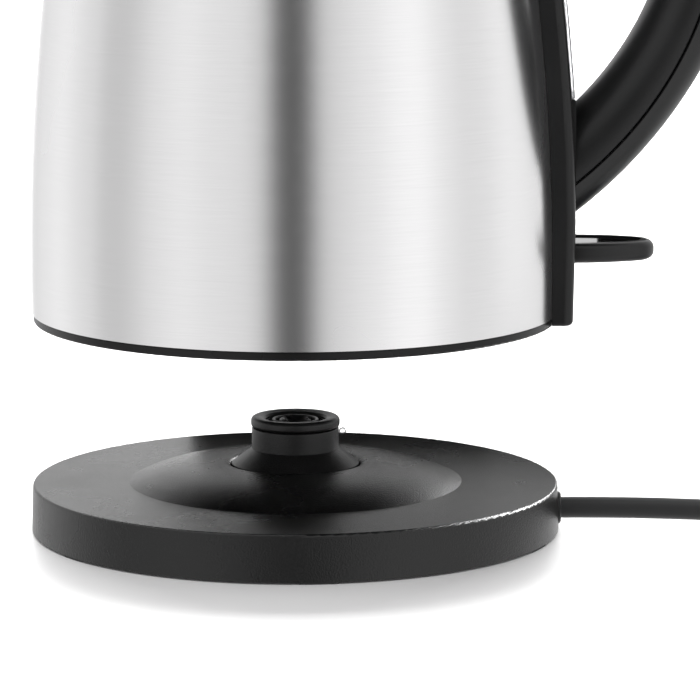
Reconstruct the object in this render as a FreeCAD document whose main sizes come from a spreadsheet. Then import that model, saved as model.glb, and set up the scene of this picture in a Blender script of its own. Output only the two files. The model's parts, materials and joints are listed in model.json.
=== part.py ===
import FreeCAD, Part
import math
import os

import Sketcher

# Cordless electric kettle on its round power base.
#
# Frame: millimetres, +Z up, the floor at Z = 0 and the origin on the axis of the power base.
# The handle, the switch lever and the mains cord point along +X and the spout along -X.
# Every piece of the kettle is drawn with Z = 0 at the kettle's own bottom edge. Its Placement
# then lifts it to where the kettle is held, lift_travel above its seat on the base.

document = FreeCAD.newDocument("Kettle")

SIZES = {
    "Power base": {
        "base_radius": (82.0, "upper edge of the base"),
        "base_flare": (0.45, "how much wider the wall is at its lower edge"),
        "base_level": (15.0, "flat ring that the kettle stands on, above the floor"),
        "foot_rise": (0.65, "height of the feet"),
        "foot_width": (12.5, "length of a foot along the rim"),
        "foot_depth": (9.0, "length of a foot across the rim"),
        "shell_wall": (2.2, "wall of the upper shell"),
        "edge_round": (0.8, "rounding of the base's upper edge"),
        "crease_radius": (52.0, "crease where the mound starts"),
        "mound_bend": (64.0, "curve of the mound"),
        "mound_rise": (6.1, "height of the mound above the ring"),
        "mound_mouth": (20.1, "hole in the middle of the mound"),
        "cover_thickness": (2.0, "bottom cover"),
        "base_screw_circle": (60.0, "radius of the circle of screws"),
        "boss_radius": (3.6, "screw boss"),
    },
    "Connector": {
        "skirt_radius": (19.9, "foot of the conical skirt"),
        "sleeve_radius": (13.6, "upright sleeve"),
        "sleeve_bore": (11.2, "inside of the sleeve"),
        "skirt_top": (10.4, "top of the skirt above the ring"),
        "sleeve_top": (17.0, "top of the sleeve above the ring"),
        "connector_top": (20.5, "top of the collar above the ring"),
        "collar_radius": (13.9, "outside of the collar"),
        "collar_bore": (9.4, "mouth of the collar"),
        "running_gap": (0.3, "gap between pieces that turn or slide past each other"),
        "core_floor": (11.5, "bottom of the contact grooves above the ring"),
        "lobe_count": (3.0, "lobes of the centre of the connector"),
    },
    "Cord": {
        "cord_radius": (3.3, "mains cord"),
        "cord_side": (-3.0, "exit of the cord beside the middle of the base"),
        "cord_rise": (6.6, "exit of the cord above the floor"),
        "wire_radius": (1.1, "insulated wires inside the base"),
        "coil_x": (196.0, "middle of the coil along X"),
        "coil_y": (14.6, "middle of the coil along Y"),
        "coil_radius": (36.3, "middle of the turns"),
        "plug_radius": (18.3, "face of the plug"),
        "plug_length": (40.0, "body of the plug"),
        "plug_neck": (4.6, "rear end of the plug"),
        "pin_radius": (2.4, "plug pin"),
        "pin_length": (19.0, "plug pin"),
        "pin_spacing": (19.0, "distance between the plug pins"),
    },
    "Kettle body": {
        "lift_travel": (51.2, "how far the kettle is held above its seat"),
        "seat_gap": (0.3, "gap left between the seated kettle and the base"),
        "belly_radius": (81.7, "widest radius of the steel body"),
        "belly_level": (15.0, "height of the widest radius"),
        "side_bend": (783.0, "curve of the side of the body"),
        "steel_bottom": (2.8, "lower edge of the steel"),
        "steel_top": (196.0, "upper edge of the steel"),
        "steel_wall": (0.8, "sheet of the body"),
        "rim_radius": (81.2, "black bottom rim"),
        "rim_height": (2.5, "black bottom rim"),
        "recess_radius": (54.0, "recess under the kettle"),
        "recess_depth": (8.5, "recess under the kettle"),
        "moulding_wall": (2.0, "bottom moulding"),
        "kettle_screw_circle": (66.0, "radius of the circle of bottom screws"),
    },
    "Control and heater": {
        "socket_radius": (16.5, "socket for the connector"),
        "socket_wall": (20.8, "outside of the socket collar"),
        "socket_top": (23.5, "end of the socket"),
        "control_radius": (31.0, "housing of the control"),
        "plate_level": (32.0, "underside of the vessel's bottom plate"),
        "plate_radius": (79.2, "bottom plate"),
        "element_circle": (40.0, "radius of the heating element's ring"),
        "element_radius": (3.2, "heating element tube"),
        "diffuser_radius": (48.0, "heat spreading plate"),
        "contact_tip": (12.6, "lower end of the inlet's contacts"),
    },
    "Rear column": {
        "column_half": (22.0, "half the width of the column"),
        "column_proud": (4.6, "column beyond the steel"),
        "column_foot": (85.3, "outer face at its lower end"),
        "column_face": (85.9, "outer face where the handle starts"),
        "column_knee": (32.0, "height where the outer face turns upright"),
        "column_top": (183.0, "upper end of the column"),
        "rail_half": (17.0, "half the width of the window strip"),
        "rail_proud": (5.8, "window strip beyond the steel"),
        "window_bottom": (70.0, "lower end of the window strip"),
        "window_top": (180.0, "upper end of the window strip"),
        "window_slot": (8.0, "half the width of the slot in the steel"),
    },
    "Handle": {
        "grip_half": (14.5, "half the width of the handle"),
        "grip_start": (86.0, "face that meets the column"),
        "grip_end": (70.2, "face that meets the hinge housing"),
        "outer_x": (-3.9, "middle of the outer curve"),
        "outer_z": (149.8, "middle of the outer curve"),
        "outer_bend": (146.4, "outer curve"),
        "outer_turn": (165.0, "height where the outer curve tightens"),
        "outer_crown": (52.0, "outer curve at the top"),
        "parting_x": (13.0, "middle of the parting curve"),
        "parting_z": (134.6, "middle of the parting curve"),
        "parting_bend": (116.8, "parting curve"),
        "parting_turn": (163.0, "height where the parting curve tightens"),
        "parting_crown": (40.0, "parting curve at the top"),
        "parting_gap": (0.35, "visible gap between the two shells"),
        "inner_x": (14.8, "middle of the inner curve"),
        "inner_z": (140.0, "middle of the inner curve"),
        "inner_bend": (100.8, "inner curve"),
        "inner_turn": (162.0, "height where the inner curve tightens"),
        "inner_crown": (28.0, "inner curve at the top"),
        "grip_wall": (2.6, "wall of both shells"),
        "grip_round": (5.0, "rounding of the handle's long edges"),
    },
    "Switch": {
        "lever_tip": (111.5, "end of the lever"),
        "lever_half": (12.7, "half the width of the lever"),
        "lever_bottom": (18.5, "underside of the lever"),
        "lever_thickness": (6.1, "lever"),
        "lever_nose": (8.5, "curve of the lever's end"),
        "lever_rim": (4.0, "rim around the inlay"),
        "lever_root": (66.0, "inner end of the lever"),
        "pivot_x": (76.0, "pivot of the lever"),
        "pivot_radius": (1.5, "pivot pin"),
        "ear_half": (16.6, "outside of the two pivot ears"),
        "ear_inner": (13.9, "inside of the two pivot ears"),
    },
    "Lid": {
        "collar_top": (201.0, "upper face of the top collar"),
        "mouth_radius": (50.3, "recess for the lid"),
        "neck_radius": (46.0, "filling opening"),
        "lid_radius": (49.8, "lid"),
        "lid_level": (200.8, "edge of the lid's cap"),
        "lid_crown": (206.5, "top of the lid"),
        "lid_rear": (46.0, "straight rear edge of the lid"),
        "hub_radius": (43.8, "underside of the lid"),
        "seal_radius": (45.0, "lid seal"),
        "hinge_x": (56.0, "lid hinge"),
        "hinge_level": (204.6, "lid hinge"),
        "hinge_radius": (1.5, "lid hinge pin"),
        "lug_radius": (3.3, "lid lug around the pin"),
        "lug_half": (13.5, "half the width of the lug"),
        "housing_half": (20.0, "half the width of the hinge housing"),
        "housing_top": (209.5, "top of the hinge housing"),
        "button_x": (84.0, "lid button"),
        "button_radius": (7.0, "lid button"),
        "button_top": (213.6, "top of the lid button"),
    },
    "Spout": {
        "spout_tip": (80.5, "reach of the spout"),
        "spout_half": (20.0, "half the width of the spout's mouth"),
        "spout_bottom": (150.0, "lower end of the spout"),
        "spout_top": (199.0, "lip of the spout"),
        "spout_wall": (0.9, "sheet of the spout"),
    },
}


class Size:
    """A length that carries its value and the sheet formula that gives it."""

    def __init__(self, value, formula):
        self.value = value
        self.formula = formula

    def combined(self, sign, other, value):
        return Size(value, f"({self.formula} {sign} {other.formula})")

    def __add__(self, other):
        other = as_size(other)
        return self.combined("+", other, self.value + other.value)

    def __sub__(self, other):
        other = as_size(other)
        return self.combined("-", other, self.value - other.value)

    def __mul__(self, other):
        other = as_size(other)
        return self.combined("*", other, self.value * other.value)

    def __truediv__(self, other):
        other = as_size(other)
        return self.combined("/", other, self.value / other.value)

    def __radd__(self, other):
        return as_size(other) + self

    def __rsub__(self, other):
        return as_size(other) - self

    def __rmul__(self, other):
        return as_size(other) * self

    def __neg__(self):
        return as_size(0.0) - self

    def __float__(self):
        return self.value

    def root(self):
        return Size(math.sqrt(self.value), f"sqrt({self.formula})")


def as_size(number):
    """A plain number becomes a Size whose formula is the number itself."""
    if isinstance(number, Size):
        return number
    return Size(float(number), f"({float(number)})")


def fill_sheet():
    """Writes every driving size to the spreadsheet and returns them by name."""
    sheet = document.addObject("Spreadsheet::Sheet", "Sizes")
    known = {}
    row = 1
    for group, entries in SIZES.items():
        sheet.set(f"A{row}", group)
        row += 1
        for name, (value, meaning) in entries.items():
            sheet.set(f"A{row}", name)
            sheet.set(f"B{row}", str(value))
            sheet.set(f"C{row}", meaning)
            sheet.setAlias(f"B{row}", name)
            known[name] = Size(value, f"Sizes.{name}")
            row += 1
    document.recompute()
    return known


SIZE = fill_sheet()
pieces = []


# ---------------------------------------------------------------- drawing helpers


class Corner:
    """A corner of an outline.

    rounded is the radius of its rounding between two straight edges. bend makes the edge that
    leaves the corner an arc with its middle on the left of the way round, and dent one with its
    middle on the right.
    """

    def __init__(self, across, up, rounded=None, bend=None, dent=None):
        self.across = as_size(across)
        self.up = as_size(up)
        self.rounded = rounded
        self.bend = bend
        self.dent = dent

    def point(self):
        return FreeCAD.Vector(self.across.value, self.up.value, 0)


def origin_item(body, role):
    """A plane or an axis of the body's own origin."""
    return next(item for item in body.Origin.OriginFeatures if item.Role == role)


def new_body(label, level=None, at_x=None, at_y=None):
    """Starts a piece; level, at_x and at_y move the finished piece to its place."""
    body = document.addObject("PartDesign::Body", label.title().replace("_", ""))
    body.Label = label
    for axis, distance in (("x", at_x), ("y", at_y), ("z", level)):
        if distance is not None:
            body.setExpression(f"Placement.Base.{axis}", distance.formula)
    pieces.append(body)
    return body


def new_sketch(body, plane, shift=None):
    """Adds an empty sketch on one of the body's planes, moved along the plane's normal."""
    count = sum(1 for item in body.Group if item.isDerivedFrom("Sketcher::SketchObject"))
    sketch = body.newObject("Sketcher::SketchObject", f"{body.Name}Sketch{count + 1}")
    sketch.AttachmentSupport = [(origin_item(body, plane), "")]
    sketch.MapMode = "FlatFace"
    if shift is not None:
        sketch.setExpression("AttachmentOffset.Base.z", as_size(shift).formula)
    return sketch


def bind(sketch, kind, geometry, size):
    """Adds one driving dimension and ties it to the sheet."""
    size = as_size(size)
    index = sketch.addConstraint(Sketcher.Constraint(kind, *geometry, size.value))
    sketch.setExpression(f"Constraints[{index}]", size.formula)


def fix_point(sketch, element, end, corner):
    """Ties one point of a sketch to the origin by its two distances."""
    for kind, axis, size in (("DistanceX", -2, corner.across), ("DistanceY", -1, corner.up)):
        if abs(size.value) < 1e-9:
            sketch.addConstraint(Sketcher.Constraint("PointOnObject", element, end, axis))
        else:
            bind(sketch, kind, (-1, 1, element, end), size)


def arc_between(start, finish, radius, middle_left):
    """The short arc from start to finish; returns it and whether it runs backwards."""
    chord = finish - start
    side = FreeCAD.Vector(-chord.y, chord.x, 0).normalize()
    rise = math.sqrt(max(radius * radius - chord.Length * chord.Length / 4, 0.0))
    middle = (start + finish) / 2 + side * (rise if middle_left else -rise)
    first, last = (start, finish) if middle_left else (finish, start)
    angles = [math.atan2(point.y - middle.y, point.x - middle.x) for point in (first, last)]
    if angles[1] < angles[0]:
        angles[1] += 2 * math.pi
    circle = Part.Circle(middle, FreeCAD.Vector(0, 0, 1), radius)
    return Part.ArcOfCircle(circle, *angles), not middle_left


def add_outline(sketch, corners):
    """Draws one closed outline through the corners, fully constrained."""
    count = len(corners)
    points = [corner.point() for corner in corners]
    arrive = list(points)
    leave = list(points)
    for index, corner in enumerate(corners):
        if corner.rounded is None:
            continue
        before = (points[index - 1] - points[index]).normalize()
        after = (points[(index + 1) % count] - points[index]).normalize()
        setback = float(corner.rounded) / math.tan(before.getAngle(after) / 2)
        arrive[index] = points[index] + before * setback
        leave[index] = points[index] + after * setback

    chain = []
    edge_of = {}
    for index, corner in enumerate(corners):
        if corner.rounded is not None:
            before = points[index] - points[index - 1]
            after = points[(index + 1) % count] - points[index]
            left = before.x * after.y - before.y * after.x > 0
            arc, backwards = arc_between(
                arrive[index], leave[index], float(corner.rounded), left)
            number = sketch.addGeometry(arc)
            chain.append((number, 2 if backwards else 1, 1 if backwards else 2, index))
        start = leave[index]
        finish = arrive[(index + 1) % count]
        bend = corner.bend if corner.bend is not None else corner.dent
        if bend is None:
            number = sketch.addGeometry(Part.LineSegment(start, finish))
            chain.append((number, 1, 2, None))
        else:
            arc, backwards = arc_between(start, finish, float(bend), corner.dent is None)
            number = sketch.addGeometry(arc)
            chain.append((number, 2 if backwards else 1, 1 if backwards else 2, None))
            bind(sketch, "Radius", (number,), bend)
        edge_of[index] = chain[-1]

    for (one, _, one_end, one_round), (two, two_start, _, two_round) in zip(
            chain, chain[1:] + chain[:1]):
        smooth = one_round is not None or two_round is not None
        kind = "Tangent" if smooth else "Coincident"
        sketch.addConstraint(Sketcher.Constraint(kind, one, one_end, two, two_start))
    for index, corner in enumerate(corners):
        if corner.rounded is None:
            number, start, _, _ = edge_of[index]
            fix_point(sketch, number, start, corner)
            continue
        peak = sketch.addGeometry(Part.Point(points[index]), True)
        fix_point(sketch, peak, 1, corner)
        for number in (edge_of[(index - 1) % count][0], edge_of[index][0]):
            sketch.addConstraint(Sketcher.Constraint("PointOnObject", peak, 1, number))
        rounding = next(item[0] for item in chain if item[3] == index)
        bind(sketch, "Radius", (rounding,), corner.rounded)


def add_circle(sketch, corner, radius):
    """Draws one circle, fully constrained."""
    normal = FreeCAD.Vector(0, 0, 1)
    number = sketch.addGeometry(Part.Circle(corner.point(), normal, float(radius)))
    fix_point(sketch, number, 3, corner)
    bind(sketch, "Radius", (number,), radius)


def drawn(body, plane, corners, shift=None):
    """A sketch with one outline."""
    sketch = new_sketch(body, plane, shift)
    add_outline(sketch, corners)
    return sketch


def circled(body, plane, circles, shift=None):
    """A sketch with circles, each given as (across, up, radius)."""
    sketch = new_sketch(body, plane, shift)
    for across, up, radius in circles:
        add_circle(sketch, Corner(across, up), radius)
    return sketch


def box_corners(left, bottom, right, top, rounded=None):
    """The four corners of a rectangle."""
    spots = ((left, bottom), (right, bottom), (right, top), (left, top))
    return [Corner(across, up, rounded) for across, up in spots]


def settled(body, feature, smaller=False):
    """Recomputes, and stops if the feature failed or a cut took nothing away."""
    before = feature.BaseFeature.Shape.Volume if feature.BaseFeature else 0.0
    document.recompute()
    if "Invalid" in feature.State or "Error" in feature.State or feature.Shape.isNull():
        raise RuntimeError(f"{body.Label}: {feature.Name} failed")
    if smaller and body.Shape.Volume > before - 1e-6:
        raise RuntimeError(f"{body.Label}: {feature.Name} cuts nothing")
    return feature


def turned(body, sketch, cut=False, angle=360.0, about="V_Axis"):
    """Turns a sketch about one of its own axes, as a solid or as a cut."""
    kind = "Groove" if cut else "Revolution"
    feature = body.newObject(f"PartDesign::{kind}", f"{body.Name}{kind}")
    feature.Profile = sketch
    feature.ReferenceAxis = (sketch, [about])
    feature.Angle = angle
    feature.Midplane = angle < 360.0
    return settled(body, feature, smaller=cut)


def extruded(body, sketch, length, cut=False, both_ways=True, backwards=False):
    """Pads or pockets a sketch."""
    kind = "Pocket" if cut else "Pad"
    feature = body.newObject(f"PartDesign::{kind}", f"{body.Name}{kind}")
    feature.Profile = sketch
    feature.SideType = "Symmetric" if both_ways else "One side"
    feature.Reversed = backwards
    feature.setExpression("Length", as_size(length).formula)
    return settled(body, feature, smaller=cut)


def repeated(body, features, count):
    """Repeats features evenly round the vertical axis."""
    pattern = body.newObject("PartDesign::PolarPattern", f"{body.Name}Pattern")
    pattern.Originals = features
    pattern.Axis = (origin_item(body, "Z_Axis"), [""])
    pattern.Angle = 360.0
    pattern.Occurrences = count
    body.Tip = pattern
    return settled(body, pattern)


def softened(body, radius, wanted, kind="Fillet"):
    """Rounds or bevels the edges that the wanted test picks."""
    tip = body.Tip
    edges = enumerate(tip.Shape.Edges, start=1)
    names = [f"Edge{number}" for number, edge in edges if wanted(edge)]
    feature = body.newObject(f"PartDesign::{kind}", f"{body.Name}{kind}")
    feature.Base = (tip, names)
    feature.setExpression("Radius" if kind == "Fillet" else "Size", as_size(radius).formula)
    return settled(body, feature)


def arc_point(middle_x, middle_z, radius, height):
    """The point of an upright circle at a height, on its +X side."""
    reach = (radius * radius - (height - middle_z) * (height - middle_z)).root()
    return middle_x + reach, height


def body_radius(height, beyond=0.0):
    """Radius of the kettle's side at a height, or of a surface a distance beyond it."""
    middle = SIZE["belly_radius"] - SIZE["side_bend"]
    across, _ = arc_point(middle, SIZE["belly_level"], SIZE["side_bend"] + beyond, height)
    return across


def inside_kettle(label):
    """Starts a piece that is drawn from the kettle's own bottom edge."""
    level = SIZE["base_level"] + SIZE["seat_gap"] + SIZE["lift_travel"]
    return new_body(label, level)


# ---------------------------------------------------------------- power base


def build_base_shell():
    """Upper shell: wall, flat ring, crease and mound, with three screw bosses inside."""
    wall = SIZE["shell_wall"]
    radius = SIZE["base_radius"]
    foot = radius + SIZE["base_flare"]
    level = SIZE["base_level"]
    crown = level + SIZE["mound_rise"]
    mouth = SIZE["mound_mouth"]
    body = new_body("base_top_shell")
    turned(body, drawn(body, "XZ_Plane", [
        Corner(foot - wall, SIZE["foot_rise"]),
        Corner(foot, SIZE["foot_rise"]),
        Corner(radius, level, rounded=SIZE["edge_round"]),
        Corner(SIZE["crease_radius"], level, bend=SIZE["mound_bend"]),
        Corner(mouth + 2.0, crown, bend=2.2),
        Corner(mouth, crown - 1.6),
        Corner(mouth, crown - wall),
        Corner(mouth + 2.0, crown - wall, dent=SIZE["mound_bend"]),
        Corner(SIZE["crease_radius"] - 1.0, level - wall),
        Corner(radius - wall, level - wall),
    ]))
    circle = SIZE["base_screw_circle"]
    boss = extruded(
        body,
        circled(body, "XY_Plane", [(-circle, 0, SIZE["boss_radius"]), (-circle, 0, 1.5)],
                shift=SIZE["foot_rise"] + SIZE["cover_thickness"] + 0.4),
        level - wall - SIZE["foot_rise"] - SIZE["cover_thickness"] - 0.2, both_ways=False)
    repeated(body, [boss], 3)
    extruded(
        body,
        circled(body, "YZ_Plane", [(SIZE["cord_side"], SIZE["cord_rise"], 5.2)],
                shift=radius - 6.0),
        10.0, cut=True, both_ways=False, backwards=True)


def build_base_cover():
    """Bottom cover with a stiffening rib and recessed holes for its three screws."""
    bottom = SIZE["foot_rise"] + 0.2
    top = bottom + SIZE["cover_thickness"]
    edge = SIZE["base_radius"] + SIZE["base_flare"] - SIZE["shell_wall"] - 0.3
    body = new_body("base_bottom_cover")
    turned(body, drawn(body, "XZ_Plane", [
        Corner(0, bottom),
        Corner(edge, bottom),
        Corner(edge, top),
        Corner(34.0, top),
        Corner(34.0, top + 2.5),
        Corner(32.0, top + 2.5),
        Corner(32.0, top),
        Corner(0, top),
    ]))
    side = SIZE["cord_side"]
    extruded(body, drawn(body, "XY_Plane", box_corners(
        SIZE["base_radius"] - 24.0, side - 6.8, 90.0, side + 6.8), shift=bottom - 1.0),
        6.0, cut=True, both_ways=False, backwards=True)
    circle = SIZE["base_screw_circle"]
    sink = extruded(body, circled(body, "XY_Plane", [(-circle, 0, 3.4)], shift=bottom),
                    1.2, cut=True, both_ways=False, backwards=True)
    hole = extruded(body, circled(body, "XY_Plane", [(-circle, 0, 1.7)], shift=bottom),
                    SIZE["cover_thickness"], cut=True, both_ways=False, backwards=True)
    repeated(body, [sink, hole], 3)


def build_base_screws():
    """Three screws that hold the cover, heads sunk below the cover's face."""
    bottom = SIZE["foot_rise"] + 0.4
    build_screws("base_screws", SIZE["base_screw_circle"], bottom, 8.0, 3, None)


def build_screws(label, circle, bottom, length, count, level):
    """Pan-head screws on a circle, standing head down."""
    body = new_body(label, level)
    screw = new_sketch(body, "XZ_Plane")
    add_outline(screw, [
        Corner(-circle, bottom + 0.8),
        Corner(0.6 - circle, bottom),
        Corner(3.0 - circle, bottom),
        Corner(3.0 - circle, bottom + 1.0),
        Corner(1.45 - circle, bottom + 1.0),
        Corner(1.45 - circle, bottom + length - 1.0),
        Corner(-circle, bottom + length),
    ])
    shank = body.newObject("PartDesign::Revolution", f"{body.Name}Turn")
    shank.Profile = screw
    shank.ReferenceAxis = (screw, ["Edge7"])
    shank.Angle = 360.0
    settled(body, shank)
    repeated(body, [shank], count)


def build_base_feet():
    """Six bevelled feet under the rim."""
    edge = SIZE["base_radius"] + 0.2
    half = SIZE["foot_width"] / 2.0
    body = new_body("base_feet")
    foot = extruded(body, drawn(body, "YZ_Plane", [
        Corner(-half + 1.2, 0),
        Corner(half - 1.2, 0),
        Corner(half, SIZE["foot_rise"]),
        Corner(-half, SIZE["foot_rise"]),
    ], shift=edge - SIZE["foot_depth"]), SIZE["foot_depth"], both_ways=False)
    pattern = repeated(body, [foot], 6)
    trim = circled(body, "XY_Plane", [(0, 0, edge + 12.0), (0, 0, edge)])
    body.Tip = pattern
    extruded(body, trim, 4.0, cut=True)
    body.Placement.Rotation = FreeCAD.Rotation(FreeCAD.Vector(0, 0, 1), 35.1)


def build_connector():
    """Connector body, its grooved core, its collar, its contacts and the wire clip."""
    level = SIZE["base_level"]
    flange = level + SIZE["mound_rise"] - SIZE["shell_wall"] - 0.1
    skirt_foot = level + SIZE["mound_rise"] - 0.4
    sleeve = SIZE["sleeve_radius"]
    bore = SIZE["sleeve_bore"]
    body = new_body("connector_body")
    turned(body, drawn(body, "XZ_Plane", [
        Corner(0, level + 7.3),
        Corner(11.0, level + 7.3),
        Corner(16.5, flange - 2.0),
        Corner(24.5, flange - 2.0),
        Corner(24.5, flange),
        Corner(SIZE["skirt_radius"], flange),
        Corner(SIZE["skirt_radius"], skirt_foot),
        Corner(sleeve, level + SIZE["skirt_top"]),
        Corner(sleeve, level + SIZE["sleeve_top"], rounded=0.4),
        Corner(bore, level + SIZE["sleeve_top"]),
        Corner(bore, level + 9.5),
        Corner(0, level + 9.5),
    ]))

    core_floor = level + SIZE["core_floor"]
    core_top = level + SIZE["connector_top"] - 0.9
    body = new_body("connector_core")
    turned(body, drawn(body, "XZ_Plane", [
        Corner(2.4, level + 9.6),
        Corner(bore - 0.1, level + 9.6),
        Corner(bore - 0.1, level + 13.9),
        Corner(SIZE["collar_bore"] - SIZE["running_gap"], level + 13.9),
        Corner(SIZE["collar_bore"] - SIZE["running_gap"], core_top - 0.6),
        Corner(8.7, core_top - 0.6),
        Corner(8.7, core_floor),
        Corner(7.3, core_floor),
        Corner(7.3, core_top, rounded=0.4),
        Corner(6.3, core_top, rounded=0.4),
        Corner(6.3, core_floor),
        Corner(5.0, core_floor),
        Corner(5.0, core_top - 0.3),
        Corner(4.2, core_top + 0.2),
        Corner(2.4, core_top - 1.2),
    ]))
    notch = extruded(
        body, drawn(body, "XY_Plane", box_corners(3.1, -1.1, 5.2, 1.1), shift=core_top - 4.0),
        8.0, cut=True, both_ways=False, backwards=True)
    repeated(body, [notch], int(SIZE["lobe_count"].value))

    collar = SIZE["collar_radius"]
    seat = level + SIZE["sleeve_top"] + 0.25
    top = level + SIZE["connector_top"]
    body = new_body("connector_collar")
    turned(body, drawn(body, "XZ_Plane", [
        Corner(SIZE["collar_bore"], seat - 2.8),
        Corner(bore - SIZE["running_gap"], seat - 2.8),
        Corner(bore - SIZE["running_gap"], seat),
        Corner(collar, seat, rounded=0.9),
        Corner(collar, top, rounded=1.4),
        Corner(collar - 2.2, top - 0.05),
        Corner(SIZE["collar_bore"] + 0.6, top - 0.5),
        Corner(SIZE["collar_bore"], top - 1.1),
    ]))

    rings = (("live_contact", 5.1, 6.2), ("neutral_contact", 7.4, 8.6))
    for label, inner, outer in rings:
        body = new_body(label)
        turned(body, drawn(body, "XZ_Plane",
                           box_corners(inner, core_floor + 0.02, outer, core_floor + 0.7)))
    body = new_body("earth_contact")
    turned(body, drawn(body, "XZ_Plane",
                       box_corners(0, level + 9.6, 2.3, core_floor + 0.7)))

    clip_reach = 0.9
    body = new_body("connector_clip", level + SIZE["sleeve_top"] - 1.4, sleeve + 1.15)
    loop = new_sketch(body, "YZ_Plane")
    add_circle(loop, Corner(0, clip_reach), 0.2)
    turned(body, loop, about="H_Axis")


# ---------------------------------------------------------------- mains cord


def tube_along(points, radius):
    """A tube of straight runs joined by tangent arcs, and the arcs' radii."""
    share = 0.45
    edges = []
    radii = []
    start = points[0]
    for before, corner, after in zip(points, points[1:], points[2:]):
        back = (before - corner).normalize()
        ahead = (after - corner).normalize()
        half_turn = (math.pi - back.getAngle(ahead)) / 2
        setback = share * min((corner - before).Length, (after - corner).Length)
        bend = setback / math.tan(half_turn)
        enter = corner + back * setback
        leave = corner + ahead * setback
        inward = (back + ahead).normalize()
        middle = corner + inward * (bend / math.cos(half_turn) - bend)
        edges.append(Part.LineSegment(start, enter).toShape())
        edges.append(Part.Arc(enter, middle, leave).toShape())
        radii.append(bend)
        start = leave
    edges.append(Part.LineSegment(start, points[-1]).toShape())
    path = Part.Wire(edges)
    section = Part.Wire(Part.Circle(points[0], points[1] - points[0], radius).toShape())
    tube = path.makePipeShell([section], True, False)
    wanted = math.pi * radius * radius * path.Length
    if abs(tube.Volume / wanted - 1) > 0.01:
        raise RuntimeError("a tube does not fill its route")
    return tube, radii


def add_shape(label, shape):
    """A piece whose shape is made directly from sizes of the sheet."""
    item = document.addObject("Part::Feature", label.title().replace("_", ""))
    item.Label = label
    item.Shape = shape
    item.Placement = FreeCAD.Placement()
    pieces.append(item)
    return item


def cord_points():
    """The two open stretches of the cord: base to coil, and coil to plug."""
    exit_x = SIZE["base_radius"].value + 1.0
    side = SIZE["cord_side"].value
    rise = SIZE["cord_rise"].value
    floor = SIZE["cord_radius"].value
    lead = [
        (exit_x, side, rise),
        (exit_x + 50.5, side, rise),
        (exit_x + 98.2, side - 19.1, floor),
    ]
    tail = [
        (232.3, 14.6, 9.0),
        (232.8, 29.5, 10.2),
        (231.5, 44.5, 8.6),
        (225.0, 60.5, 4.2),
        (212.0, 72.5, 3.4),
        (196.5, 78.5, 4.3),
    ]
    return [[FreeCAD.Vector(*spot) for spot in route] for route in (lead, tail)]


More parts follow.
